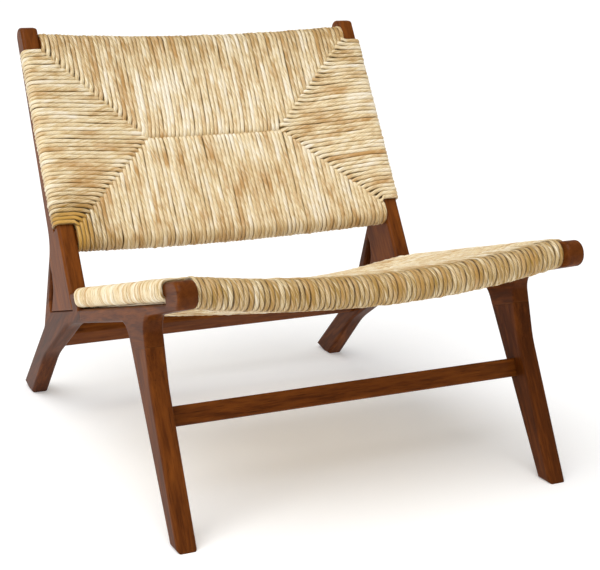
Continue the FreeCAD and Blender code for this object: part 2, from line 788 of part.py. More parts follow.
def rush_panel(name, low, tilt, long, bow, wraps):
    """Woven panel: the slab between its rails with a round roll over each of them.

    The wraps are the start of the side strip, its length, its depth and the half
    thickness of the cord round it, all in the direction of the panel.
    """
    high = shifted(low, tilt, long, "0")
    roll = "(rail_radius + cord)"
    outer = [bowed_slab(name + "_body", low, tilt, long, bow, roll, panel_width)]
    for label, place in (("low", low), ("high", high)):
        whole = ring("%s_%s_roll_ring" % (name, label), place, tilt, bow, roll)
        outer.append(boolean("Common", "%s_%s_roll" % (name, label), whole,
                             span_box("%s_%s_roll_span" % (name, label), panel_width)))
    tools = []
    for side in side_places:
        place, length, deep = wraps
        outer.append(side_block(name + "_wrap", side, shifted(place, tilt, "0", "-cord"), tilt,
                                length, "%s + 2 * cord" % deep, "cord", "wrap_corner"))
        inside = shifted(place, tilt, "-overrun", "-rush_clearance")
        tools.append(side_block(name + "_strip_space", side, inside, tilt,
                                "%s + 2 * overrun" % length,
                                "%s + 2 * rush_clearance" % deep, "rush_clearance"))
    cavity = "(rail_radius + rush_clearance)"
    tools.append(bowed_slab(name + "_cavity", low, tilt, long, bow, cavity, cavity_width))
    for label, place in (("low", low), ("high", high)):
        tools.append(ring("%s_%s_rail_space" % (name, label), place, tilt, bow, cavity))
    shell = boolean("Cut", name, joined(name + "_outer", outer), joined(name + "_inner", tools))
    shell.Label = name
    return shell


def stuffing(name, low, tilt, long, bow):
    """Filling of loose rush pushed between the two faces of a panel."""
    start = shifted(low, tilt, "stuffing_margin", "0")
    slab = bowed_slab(name + "_fill", start, tilt, "%s - 2 * stuffing_margin" % long, bow,
                      "rail_radius", cavity_width + " - 2 * rush_clearance")
    slab.Label = name
    return slab


panel_width = "(%s - 2 * rush_clearance)" % inner_width
cavity_width = "(%s - 2 * cord)" % panel_width
seat_tilt = "(seat_slope + 90)"

for side in side_places:
    side_rail(side)
    front_leg(side)
    rear_leg(side)
    back_post(side)
    seat_batten(side)

front_rail_place = seat("0", "0")
rear_rail_place = seat("seat_depth", "0")
low_rail_place = lean("back_rail_low", "back_rail_behind")
high_rail_place = lean("back_rail_high", "back_rail_behind")
bowed_rail("front_seat_rail", front_rail_place, seat_tilt, "seat_bow", "tenon_radius")
bowed_rail("rear_seat_rail", rear_rail_place, seat_tilt, "seat_bow", "tenon_radius")
bowed_rail("back_bottom_rail", low_rail_place, "back_lean", "back_bow", "back_tenon_radius")
bowed_rail("back_top_rail", high_rail_place, "back_lean", "back_bow", "back_tenon_radius")

cross_piece("front_stretcher", stretcher, "stretcher_tilt", "stretcher_tall", "stretcher_thick")
cross_piece("rear_cross_rail", cross_bar, "(90 + cross_tilt)", "cross_wide", "cross_thick")
frame_dowels()
bar_dowels("front_stretcher_dowels", stretcher, "stretcher_tilt")
bar_dowels("rear_cross_rail_dowels", cross_bar, "(90 + cross_tilt)")

rush_panel("seat_rush", front_rail_place, seat_tilt, "seat_depth", "seat_bow",
           (seat("shoulder_run + rush_clearance", "batten_above + batten / 2"),
            "(block_run - wrap_margin - shoulder_run)", "batten"))
back_wrap_low = "(back_rail_low + post_slot_low_margin + post_slot_ease)"
back_wrap_high = "(back_rail_high - post_slot_high_margin)"
rush_panel("back_rush", low_rail_place, "back_lean", "(back_rail_high - back_rail_low)", "back_bow",
           (lean(back_wrap_low, "0"), "(%s - %s)" % (back_wrap_high, back_wrap_low), "post_strip"))
stuffing("seat_stuffing", front_rail_place, seat_tilt, "seat_depth", "seat_bow")
stuffing("back_stuffing", low_rail_place, "back_lean", "(back_rail_high - back_rail_low)", "back_bow")

doc.recompute()

nodes = [side + piece for side in side_places
         for piece in ("_side_rail", "_front_leg", "_rear_leg", "_back_post", "_seat_batten")]
nodes += ["front_seat_rail", "rear_seat_rail", "back_bottom_rail", "back_top_rail",
          "front_stretcher", "rear_cross_rail", "leg_joint_dowels", "seat_rail_dowels",
          "post_foot_dowels", "brace_dowels", "front_stretcher_dowels", "rear_cross_rail_dowels",
          "seat_rush", "back_rush", "seat_stuffing", "back_stuffing"]

for item in doc.Objects:
    if "Invalid" in item.State or "Error" in item.State:
        raise RuntimeError("%s failed: %s" % (item.Name, item.getStatusString()))

os.makedirs("parts", exist_ok=True)
for node in nodes:
    piece = doc.getObjectsByLabel(node)[0]
    if piece.Shape.isNull() or not piece.Shape.isValid():
        raise RuntimeError(node + " has no valid shape")
    piece.Shape.exportStep("parts/%s.step" % node)
    print(node, len(piece.Shape.Solids), round(piece.Shape.Volume))
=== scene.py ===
import math

import bpy
import numpy as np
from mathutils import Matrix, Vector


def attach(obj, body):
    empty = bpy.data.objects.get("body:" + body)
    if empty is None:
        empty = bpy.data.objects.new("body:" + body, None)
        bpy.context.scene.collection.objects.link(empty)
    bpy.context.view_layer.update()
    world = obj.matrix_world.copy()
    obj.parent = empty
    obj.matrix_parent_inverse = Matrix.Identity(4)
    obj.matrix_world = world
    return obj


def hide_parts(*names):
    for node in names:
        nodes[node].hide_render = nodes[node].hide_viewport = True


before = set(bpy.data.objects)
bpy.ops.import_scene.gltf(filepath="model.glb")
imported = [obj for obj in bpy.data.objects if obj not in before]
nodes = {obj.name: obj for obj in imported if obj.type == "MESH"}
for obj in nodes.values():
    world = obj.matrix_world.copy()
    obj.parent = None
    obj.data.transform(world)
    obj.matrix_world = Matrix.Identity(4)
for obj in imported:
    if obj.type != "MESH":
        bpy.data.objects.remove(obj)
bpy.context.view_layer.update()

# Camera: it stands a little left of the chair and above the seat, and looks down at it through
# a short telephoto lens, so that both side frames and the whole front of the seat show.
camera_place = Vector((-0.95172, -2.13946, 0.8433))
camera_turn = math.radians(25.2)
camera_dip = math.radians(13.894)
camera_roll = math.radians(-0.231)
lens_mm = 84.0

ahead = Vector((math.sin(camera_turn) * math.cos(camera_dip),
                math.cos(camera_turn) * math.cos(camera_dip),
                -math.sin(camera_dip)))
level_right = Vector((math.cos(camera_turn), -math.sin(camera_turn), 0))
level_up = level_right.cross(ahead)
right = level_right * math.cos(camera_roll) - level_up * math.sin(camera_roll)
up = right.cross(ahead)
camera = bpy.data.objects.new("camera", bpy.data.cameras.new("camera"))
camera_axes = Matrix((right, up, -ahead)).transposed().to_4x4()
camera.matrix_world = Matrix.Translation(camera_place) @ camera_axes
camera.data.lens = lens_mm
camera.data.clip_start = 0.05
camera.data.clip_end = 50
bpy.context.scene.collection.objects.link(camera)
bpy.context.scene.camera = camera


# Side frames, cut from hardwood board such as sheesham or mahogany.
# The boards are sanded, stained a reddish brown that leaves the pores dark, and finished
# with a thin satin lacquer that is rubbed a little paler along the eased edges; this paler edge colour is
# also a painted highlight.
def linear(hex_code):
    """Linear colour, with full alpha, of an sRGB hex code."""
    parts = [int(hex_code[place:place + 2], 16) / 255 for place in (1, 3, 5)]
    return tuple(c / 12.92 if c <= 0.04045 else ((c + 0.055) / 1.055) ** 2.4 for c in parts) + (1,)


def node(owner, kind, links=(), stops=(), **settings):
    """Adds a shader node with its settings, the outputs that feed its inputs, and a ramp's colour stops."""
    tree = owner.node_tree
    made = tree.nodes.new(kind)
    for key, value in settings.items():
        if key in made.bl_rna.properties:
            setattr(made, key, value)
        else:
            socket = int(key[2:]) if key.startswith("in") else key.replace("_", " ")
            made.inputs[socket].default_value = value
    for socket, source in links:
        tree.links.new(source, made.inputs[socket])
    if stops:
        elements = made.color_ramp.elements
        elements[0].position, elements[0].color = stops[0]
        elements[1].position, elements[1].color = stops[-1]
        for place, colour in stops[1:-1]:
            elements.new(place).color = colour
    return made


def new_material(name):
    material = bpy.data.materials.new(name)
    material.use_nodes = True
    return material, material.node_tree.nodes["Principled BSDF"]


wood_dark = linear("#321907")
wood_middle = linear("#54290C")
wood_warm = linear("#7C4316")
wood_light = linear("#9A581C")
wood_pore = linear("#1C0D05")
wood_rubbed_and_highlight = linear("#A6662C")

# Broad figure and narrower growth bands, both drawn out along the grain. Open pores are
# about 0.3 mm wide in life, and are drawn three times as wide so that they show.
figure_mm = 46.0
band_mm = 7.0
grain_stretch = 0.12
pore_mm = 0.9
pore_length_mm = 28.0
pore_deep = 0.0002
eased_edge = 0.004


def stained_hardwood(name, grain, depth, seed):
    """Lacquered board: figured along the grain, flat on end grain, stained from 0, dark, to 1, light."""
    material, surface = new_material(name)
    place = node(material, "ShaderNodeTexCoord").outputs["Object"]
    grain = Vector(grain).normalized()
    turn = Vector((1, 0, 0)).rotation_difference(grain).inverted().to_euler()
    board = node(material, "ShaderNodeMapping", [("Vector", place)], Rotation=turn,
                 Location=(seed * 3.1, seed * 1.7, seed * 2.3)).outputs["Vector"]
    lengthwise = node(material, "ShaderNodeMapping", [("Vector", board)],
                      Scale=(grain_stretch, 1, 1)).outputs["Vector"]
    figure = node(material, "ShaderNodeTexNoise", [("Vector", lengthwise)], Scale=1000 / figure_mm,
                  Detail=5.0, Roughness=0.55, Distortion=0.8).outputs["Fac"]
    bands = node(material, "ShaderNodeTexNoise", [("Vector", lengthwise)], Scale=1000 / band_mm,
                 Detail=3.0, Roughness=0.6).outputs["Fac"]
    pores = node(material, "ShaderNodeMapping", [("Vector", board)],
                 Scale=(pore_mm / pore_length_mm, 1, 1)).outputs["Vector"]
    pores = node(material, "ShaderNodeTexNoise", [("Vector", pores)], Scale=1000 / pore_mm,
                 Detail=1.0).outputs["Fac"]

    # End grain takes up the stain evenly, so the figure is weaker there
    normal = node(material, "ShaderNodeTexCoord").outputs["Normal"]
    end_grain = node(material, "ShaderNodeVectorMath", [(0, normal)], operation="DOT_PRODUCT",
                     in1=grain).outputs["Value"]
    end_grain = node(material, "ShaderNodeMath", [(0, end_grain)], operation="ABSOLUTE").outputs[0]
    contrast = node(material, "ShaderNodeMapRange", [("Value", end_grain)], From_Min=0.55,
                    From_Max=0.90, To_Min=0.44, To_Max=0.12).outputs[0]
    blend = node(material, "ShaderNodeMath", [(0, figure), (1, bands)], operation="ADD").outputs[0]
    blend = node(material, "ShaderNodeMath", [(0, blend)], operation="SUBTRACT", in1=1.0).outputs[0]
    blend = node(material, "ShaderNodeMath", [(0, blend), (1, contrast)],
                 operation="MULTIPLY_ADD", in2=depth).outputs[0]
    stain = node(material, "ShaderNodeValToRGB", [("Fac", blend)],
                 stops=[(0.20, wood_dark), (0.42, wood_middle), (0.62, wood_warm),
                        (0.90, wood_light)]).outputs["Color"]
    open_pores = node(material, "ShaderNodeMapRange", [("Value", pores)], From_Min=0.60,
                      From_Max=0.72, To_Max=0.55).outputs[0]

    # Edges are rounded over and rubbed paler, unevenly along the bands; the paler colour is also a painted
    # highlight along the edges
    round_over = node(material, "ShaderNodeBevel", Radius=eased_edge).outputs["Normal"]
    true_normal = node(material, "ShaderNodeNewGeometry").outputs["Normal"]
    facing = node(material, "ShaderNodeVectorMath", [(0, round_over), (1, true_normal)],
                  operation="DOT_PRODUCT").outputs["Value"]
    edge = node(material, "ShaderNodeMapRange", [("Value", facing)], From_Min=0.995,
                From_Max=0.86, To_Max=0.3).outputs[0]
    edge = node(material, "ShaderNodeMath", [(0, edge), (1, bands)], operation="MULTIPLY").outputs[0]
    for amount, tint in ((open_pores, wood_pore), (edge, wood_rubbed_and_highlight)):
        stain = node(material, "ShaderNodeMix", [(0, amount), (6, stain)],
                     data_type="RGBA", in7=tint).outputs[2]
    satin = node(material, "ShaderNodeMapRange", [("Value", figure)], To_Min=0.34, To_Max=0.46).outputs[0]
    relief = node(material, "ShaderNodeBump", [("Height", pores), ("Normal", round_over)],
                  Strength=0.12, Distance=pore_deep, invert=True).outputs["Normal"]
    material.node_tree.links.new(stain, surface.inputs["Base Color"])
    material.node_tree.links.new(satin, surface.inputs["Roughness"])
    material.node_tree.links.new(relief, surface.inputs["Normal"])
    surface.inputs["Specular IOR Level"].default_value = 0.03
    surface.inputs["Coat Weight"].default_value = 0.08
    surface.inputs["Coat Roughness"].default_value = 0.13
    return material


def finish_node(name, material):
    """Gives a CAD piece its finish in place of the plain one."""
    piece = nodes[name]
    piece.data.materials.clear()
    piece.data.materials.append(material)


# Direction of the grain, along each board, and the depth of its stain. The depths also
# hold painted light and shade: the back posts, whose fronts are lit, are stained lighter,
# and the rear legs, whose inner faces lie in shade, darker
frame_boards = {
    "side_rail": ((0, 0.968, -0.252), 0.45),
    "front_leg": ((0, 0.49, 1), 0.45),
    "rear_leg": ((0, 0.80, -0.60), 0.42),
    "back_post": ((0, 0.516, 0.857), 0.54),
    "seat_batten": ((0, 0.968, -0.252), 0.45),
}
seed = 1
for side in ("left", "right"):
    for piece, (grain, depth) in frame_boards.items():
        seed += 1
        finish_node(side + "_" + piece,
                    stained_hardwood("stained_hardwood_%s_%s" % (side, piece), grain, depth, seed))

# Bowed round rails, stretcher and cross rail: the same timber, with the grain across the chair.
# The rails are steam bent and sit inside the rush; the two straight bars are eased and dowelled.
across_chair = (1, 0, 0)
bar_stain = 0.52
for piece in ("front_seat_rail", "rear_seat_rail", "back_bottom_rail", "back_top_rail",
              "front_stretcher", "rear_cross_rail"):
    seed += 1
    finish_node(piece, stained_hardwood("stained_hardwood_" + piece, across_chair, bar_stain, seed))


# Dowels of turned beech, glued into the joints and left bare.
# The wood is pale and dull, with small darker flecks.
fleck_mm = 5 / 3


def bare_beech(name):
    material, surface = new_material(name)
    place = node(material, "ShaderNodeTexCoord").outputs["Object"]
    flecks = node(material, "ShaderNodeTexNoise", [("Vector", place)], Scale=1000 / fleck_mm,
                  Detail=3.0).outputs["Fac"]
    tone = node(material, "ShaderNodeValToRGB", [("Fac", flecks)],
                stops=[(0.35, linear("#B98A5C")), (0.7, linear("#D9B483"))]).outputs["Color"]
    material.node_tree.links.new(tone, surface.inputs["Base Color"])
    surface.inputs["Roughness"].default_value = 0.62
    return material


turned_beech = bare_beech("turned_beech")
for piece in ("leg_joint_dowels", "seat_rail_dowels", "post_foot_dowels", "brace_dowels",
              "front_stretcher_dowels", "rear_cross_rail_dowels"):
    finish_node(piece, turned_beech)


# Rush panels: one long cord twisted by hand from dried rush leaves, woven to the four corners.
# Every turn goes over a rail, along the face and down at the mitre, so the faces show four
# triangles of cord that meet on diagonals, and a seam where the middle is filled in.
mm = 0.001

# Inner half width of the chair, the strip of frame that the side turns go round, and how far
# the cord's middle lies from a rail's
inner_half = 299.5 * mm
strip_wide = 30.5 * mm
strip_round = 5.5 * mm
layer = 19.6 * mm

# Half height of a cord, and its half width as a share of the pitch: packed cords press into each other
cord_half_high = 3.1 * mm
cord_share = 0.57

# Lumps along a cord, its uneven thickness, the rings that taper at its ends, and the length of
# cord that the patterns of the strands are taken from
lump_step = 14 * mm
lump_overrun = 30 * mm
lump_share = 0.06
thickness_share = 0.03
tip_rings = 1.5
tip_share = 0.25
cord_metres = 50

# Slow drift of a strand in its layer and beside its neighbours
lift_step = 30 * mm
lift_size = 0.4 * mm
drift_step = 40 * mm
drift_size = 0.55 * mm

# How strands lean: to one side and alternately at the seam, and towards the corner at a mitre
seam_lean = -4 * mm
seam_lean_run = 30 * mm
seam_lock_run = 20 * mm
mitre_hook = 2.5 * mm
mitre_hook_run = 5 * mm

# Mesh of a cord: its rings lie closer together where the path turns by over 12 radians a metre
ring_sides = 8
end_cap = np.array([(0, 1, 2, 3), (0, 3, 4, 7), (4, 5, 6, 7)])
straight_step = 5.5 * mm
bend_step = 2.4 * mm
fine_step = 0.8 * mm
arc_step = 2 * mm
tight_bend = 12

# Height of a cord's middle against its distance from the crossing at the mitre:
# the cord on top ends in a round shoulder, and the one beneath slips under it early.
over_end = np.array([(-4.6, -8.4), (-4.1, -4.6), (-2.6, -1.2), (0.6, 0.5), (6, 0.5), (14, 0)]) * mm
under_end = np.array([(-6.5, -8.6), (-2, -7.2), (2.4, -5.6), (6.4, -2.4), (10.5, -0.4), (17, 0)]) * mm

# Reach of the seat's crown: it rises over this many layers, and falls over this share of the length
crown_rise_layers = 4
crown_fall_share = 0.5


class Panel:
    """Flat coordinates of a woven panel: x across, a from low rail to high rail, t out of its face."""

    def __init__(self, name, origin, along, out, long, bow, crown, strip, counts, wraps, mitres, over):
        self.name = name
        self.origin = np.array(origin)
        self.along = np.array(along)
        self.out = np.array(out)
        self.long = long
        self.bow = bow
        self.radius = inner_half ** 2 / (2 * bow) + bow / 2
        self.crown = crown
        self.strip = strip
        self.rail_count, self.side_count = counts
        self.rail_pitch = 2 * inner_half / self.rail_count
        self.corner_count = self.side_count // 2
        self.middle_half = inner_half - self.corner_count * self.rail_pitch
        self.wraps = wraps
        self.mitres = mitres
        self.over = over
        self.seam = long / 2

    def drop(self, x):
        """How far the bowed rails dip below their ends."""
        x = np.clip(x, -inner_half, inner_half)
        return np.sqrt(self.radius ** 2 - x ** 2) - (self.radius - self.bow)

    def swell(self, x, a, t):
        """How far the stuffing lifts the upper face at a place, least at the rails and sides."""
        middle = 1 - np.clip(np.abs(x) / inner_half, 0, 1) ** 3
        front = np.clip((a + layer) / (crown_rise_layers * layer), 0, 1)
        rear = np.clip((self.long - a) / (crown_fall_share * self.long), 0, 1)
        upper = np.clip(t / layer, 0, 1)
        return self.crown * middle * front * (2 - front) * rear * (2 - rear) * upper

    def place(self, points):
        """Points (x, a, t) as points of the chair."""
        return (self.origin + points[:, :1] * np.array((1.0, 0.0, 0.0))
                + points[:, 1:2] * self.along + points[:, 2:] * self.out)

    def mitre(self, side, high, index):
        """Place along the panel of a crossing, counted from the corner in."""
        half = self.side_count / 2
        corner = self.mitres[side][1 if high else 0]
        return corner + (self.seam - corner) * (index + 0.5) / half

    def wrap(self, side, index):
        """Place along the panel where a strand goes round the side strip."""
        low, high = self.wraps[side]
        return low + (high - low) * (index + 0.5) / self.side_count


def arc(centre, radius, start, end):
    """Points of an arc in a plane, angles in degrees."""
    count = max(3, int(abs(math.radians(end - start)) * radius / arc_step) + 1)
    angles = np.radians(np.linspace(start, end, count))
    return np.stack([centre[0] + radius * np.cos(angles), centre[1] + radius * np.sin(angles)], 1)


def evened(values, count):
    """Running mean over a count of neighbours, with the values at the ends held."""
    return np.convolve(np.pad(values, count // 2, mode="edge"), np.ones(count) / count, "valid")


def resample(path):
    """Smooth points along a path in a plane, closer together where it bends."""
    gaps = np.hypot(*np.diff(path, axis=0).T)
    run = np.concatenate([[0], np.cumsum(gaps)])
    fine = np.arange(0, run[-1], fine_step)
    smooth = np.stack([np.interp(fine, run, path[:, axis]) for axis in (0, 1)], 1)
    kernel = np.hanning(7)
    kernel /= kernel.sum()
    padded = np.pad(smooth, ((3, 3), (0, 0)), mode="reflect", reflect_type="odd")
    smooth = np.stack([np.convolve(padded[:, axis], kernel, "valid") for axis in (0, 1)], 1)
    tangent = np.gradient(smooth, axis=0)
    heading = np.unwrap(np.arctan2(tangent[:, 1], tangent[:, 0]))
    turning = evened(np.abs(np.gradient(heading)) / fine_step, 9)
    density = evened(np.where(turning > tight_bend, 1 / bend_step, 1 / straight_step), 13)
    amount = np.concatenate([[0], np.cumsum(density[:-1] * fine_step)])
    count = max(6, int(round(amount[-1])))
    wanted = np.interp(np.linspace(0, amount[-1], count), amount, fine)
    return np.stack([np.interp(wanted, fine, smooth[:, axis]) for axis in (0, 1)], 1), wanted


class CordMesh:
    """Collects strands of cord as rings of points, and makes one mesh of them."""

    def __init__(self):
        self.points, self.faces, self.along, self.around = [], [], [], []
        self.values = {"strand_tone": [], "ripe_and_shade": [], "leaf": [], "turn": []}
        self.total = 0

    def add(self, centre, lateral, normal, run, half_wide, ripe_and_shade, leaf, turn, rng):
        """Adds a closed strand: its middle, sideways and outward vectors, and values ring by ring."""
        rings = len(centre)
        if np.dot(np.cross(lateral[0], normal[0]), centre[1] - centre[0]) < 0:
            lateral = -lateral
        angles = np.linspace(0, 2 * math.pi, ring_sides, endpoint=False)
        knots = np.arange(0, run[-1] + lump_overrun, lump_step)
        lumps = 1 + lump_share * np.interp(run, knots, rng.standard_normal(len(knots)))
        swell = lumps * rng.normal(1, thickness_share)
        ends = np.minimum(np.arange(rings), np.arange(rings)[::-1]) / tip_rings
        swell = swell * np.sqrt(np.clip(ends, tip_share, 1))
        wide = (half_wide * swell)[:, None, None] * np.cos(angles)[None, :, None]
        high = (cord_half_high * swell)[:, None, None] * np.sin(angles)[None, :, None]
        ring = lateral[:, None, :] * wide + normal[:, None, :] * high
        self.points.append((centre[:, None, :] + ring).reshape(-1, 3))
        spoke = np.arange(ring_sides)[None, :]
        start = np.arange(rings - 1)[:, None] * ring_sides + self.total
        first = start + spoke
        second = start + (spoke + 1) % ring_sides
        sides = np.stack([first, second, second + ring_sides, first + ring_sides], 2)
        self.faces.append(sides.reshape(-1, 4))
        offset = rng.uniform(0, cord_metres)
        u0 = np.repeat(run[:-1] + offset, ring_sides)
        u1 = np.repeat(run[1:] + offset, ring_sides)
        v0 = np.tile(np.arange(ring_sides) / ring_sides, rings - 1)
        v1 = v0 + 1 / ring_sides
        self.along.append(np.stack([u0, u0, u1, u1], 1))
        self.around.append(np.stack([v0, v1, v1, v0], 1))
        last_ring = (rings - 1) * ring_sides
        for cap, ring_start, place in ((end_cap[:, ::-1], 0, run[0]), (end_cap, last_ring, run[-1])):
            self.faces.append(cap + self.total + ring_start)
            self.along.append(np.full(cap.shape, place + offset))
            self.around.append(cap / ring_sides)
        self.values["strand_tone"].append(np.full(rings * ring_sides, rng.uniform(0, 1)))
        self.values["ripe_and_shade"].append(np.repeat(ripe_and_shade, ring_sides))
        self.values["leaf"].append(np.repeat(leaf, ring_sides))
        self.values["turn"].append(np.full(rings * ring_sides, turn))
        self.total += rings * ring_sides

    def build(self, name, material):
        """Makes the mesh, with the run along each cord and the way round it as its UV map."""
        mesh = bpy.data.meshes.new(name)
        points = np.concatenate(self.points)
        faces = np.concatenate(self.faces)
        mesh.vertices.add(len(points))
        mesh.vertices.foreach_set("co", points.astype(np.float32).ravel())
        mesh.loops.add(faces.size)
        mesh.loops.foreach_set("vertex_index", faces.astype(np.int32).ravel())
        mesh.polygons.add(len(faces))
        mesh.polygons.foreach_set("loop_start", np.arange(0, faces.size, 4, dtype=np.int32))
        mesh.polygons.foreach_set("use_smooth", np.ones(len(faces), dtype=bool))
        mesh.update(calc_edges=True)
        uv = np.stack([np.concatenate(self.along).ravel(), np.concatenate(self.around).ravel()], 1)
        mesh.uv_layers.new(name="cord").data.foreach_set("uv", uv.astype(np.float32).ravel())
        for label, values in self.values.items():
            attribute = mesh.attributes.new(label, "FLOAT", "POINT")
            attribute.data.foreach_set("value", np.concatenate(values).astype(np.float32))
        mesh.materials.append(material)
        piece = bpy.data.objects.new(name, mesh)
        bpy.context.scene.collection.objects.link(piece)
        return piece


def wander(run, step, size, rng):
    """Slow random drift along a strand."""
    knots = np.arange(0, run[-1] + 3 * step, step)
    return np.interp(run, knots, rng.standard_normal(len(knots)) * size)


def square_to(path):
    """Unit vectors square to a path in a plane, to its left."""
    tangent = np.gradient(path, axis=0)
    tangent /= np.linalg.norm(tangent, axis=1)[:, None]
    return np.stack([-tangent[:, 1], tangent[:, 0]], 1)


def rail_strand(cords, panel, x, reach, high, over, ripen, rng):
    """Strand over a rail: from its dive on the face, round the rail, to its dive on the other face."""
    end = over_end if over else under_end
    face = [(reach - s, layer + t) for s, t in end]
    behind = [(a, -t) for a, t in face[::-1]]
    path, run = resample(np.array(face + arc((0, 0), layer, 90, 270).tolist() + behind))
    normal = -square_to(path)
    path = path + normal * wander(run, lift_step, lift_size, rng)[:, None]
    near = np.clip(reach - path[:, 0], 0, None)
    x_drift = wander(run, drift_step, drift_size, rng)
    if abs(x) < panel.middle_half:
        lean = np.exp(-near / seam_lean_run) * seam_lean
        lean += np.exp(-near / seam_lock_run) * panel.rail_pitch / 4 * (-1 if high else 1)
    else:
        lean = np.exp(-near / mitre_hook_run) * (mitre_hook if over else 0) * math.copysign(1, x)
    across = x + x_drift + lean
    along = panel.long - path[:, 0] if high else path[:, 0]
    height = path[:, 1] - panel.drop(x) + panel.swell(across, along, path[:, 1])
    points = np.stack([across, along, height], 1)
    lateral = np.tile(np.array((1.0, 0.0, 0.0)), (len(run), 1))
    outward = normal[:, :1] * (-1 if high else 1) * panel.along + normal[:, 1:] * panel.out
    first_turn = 300 if high else 100
    cords.add(panel.place(points), lateral, outward, run, panel.rail_pitch * cord_share,
              ripen(across, along), along, x / panel.rail_pitch + first_turn, rng)


def side_strand(cords, panel, side, index, x_end, a_end, over, ripen, rng):
    """Strand over a side strip: from its dive on the face, round the strip, to its dive behind."""
    low, high = panel.strip
    outer = inner_half + strip_wide
    sink = float(panel.drop(x_end))
    bend = strip_round + cord_half_high
    end = over_end if over else under_end
    last_dive = inner_half + 2 * mm
    strip_edge = inner_half + 4 * mm
    face = [(x_end + s, layer - sink + t) for s, t in end if x_end + s < last_dive]
    face.append((strip_edge, high + cord_half_high))
    turns = (arc((outer - strip_round, high - strip_round), bend, 90, 0).tolist()
             + arc((outer - strip_round, low + strip_round), bend, 0, -90).tolist())
    behind = [(strip_edge, low - cord_half_high)]
    behind += [(x_end + s, -layer - sink - t) for s, t in end[::-1] if x_end + s < last_dive]
    path, run = resample(np.array(face + turns + behind))
    normal = square_to(path)
    path = path + normal * wander(run, lift_step, lift_size, rng)[:, None]
    a_strip = panel.wrap(side, index)
    share = np.clip((inner_half - path[:, 0]) / (inner_half - x_end), 0, 1.1)
    near = np.clip(path[:, 0] - x_end, 0, None)
    hook = np.exp(-near / mitre_hook_run) * (mitre_hook if over else 0)
    hook *= 1 if index >= panel.corner_count else -1
    along = a_strip + (a_end - a_strip) * share + hook + wander(run, drift_step, drift_size, rng)
    height = path[:, 1] + panel.swell(path[:, 0], along, path[:, 1] + sink)
    points = np.stack([path[:, 0] * side, along, height], 1)
    lateral = np.tile(panel.along, (len(run), 1))
    outward = normal[:, :1] * side * np.array((1.0, 0.0, 0.0)) + normal[:, 1:] * panel.out
    pitch = (panel.wraps[side][1] - panel.wraps[side][0]) / panel.side_count
    first_turn = 500 + 200 * side
    cords.add(panel.place(points), lateral, outward, run, pitch * cord_share,
              ripen(points[:, 0], along), points[:, 0], index + first_turn, rng)


def weave(panel, material, cad_node, ripen, seed):
    """Weaves a panel: strands over the low and high rails, and over both side strips."""
    rng = np.random.default_rng(seed)
    made = []
    for label, high in (("low", False), ("high", True)):
        cords = CordMesh()
        for index in range(panel.rail_count):
            x = -inner_half + (index + 0.5) * panel.rail_pitch
            side = -1 if x < 0 else 1
            nearest = min(index, panel.rail_count - 1 - index)
            at_corner = nearest < panel.corner_count
            a = panel.mitre(side, high, nearest) if at_corner else panel.seam
            reach = panel.long - a if high else a
            over = not panel.over[side, high] if at_corner else high
            rail_strand(cords, panel, x, reach, high, over, ripen, rng)
        made.append(cords.build("%s_%s_cords" % (panel.name, label), material))
    for label, side in (("left", -1), ("right", 1)):
        cords = CordMesh()
        for index in range(panel.side_count):
            nearest = min(index, panel.side_count - 1 - index)
            high = index >= panel.corner_count
            x_end = inner_half - (nearest + 0.5) * panel.rail_pitch
            side_strand(cords, panel, side, index, x_end, panel.mitre(side, high, nearest),
                        panel.over[side, high], ripen, rng)
        made.append(cords.build("%s_%s_cords" % (panel.name, label), material))
    for piece in made:
        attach(piece, "root")
        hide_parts(cad_node)


# Dried rush: pale straw leaves with golden and olive streaks, twisted so that the fibres spiral.
# The sides of a cord are darkened with painted shade where it presses on its neighbours.
rush_pale = linear("#F3E3C0")
rush_straw = linear("#ECD39D")
rush_white = linear("#FBF2DF")
rush_golden = linear("#C08C45")
rush_olive = linear("#948248")
rush_ripe = linear("#96731E")
rush_yellow = linear("#CE9C36")
# Painted shade between cords, and a darker painted shade for them on the worn front roll
rush_shade = linear("#A07C42")
rush_deep_shade = linear("#5E4520")

# Fibres are finer in life. They are drawn 42 mm long and a few to a turn, so that they show.
leaf_mm = 110.0
leaf_turns = 2.4
patch_mm = 1000 / 9
twist_mm = 75.0
streak_mm = 30.0
streak_round = 0.9
fibre_mm = 1000 / 24
fibre_round = 5.5
fibre_deep = 0.0007


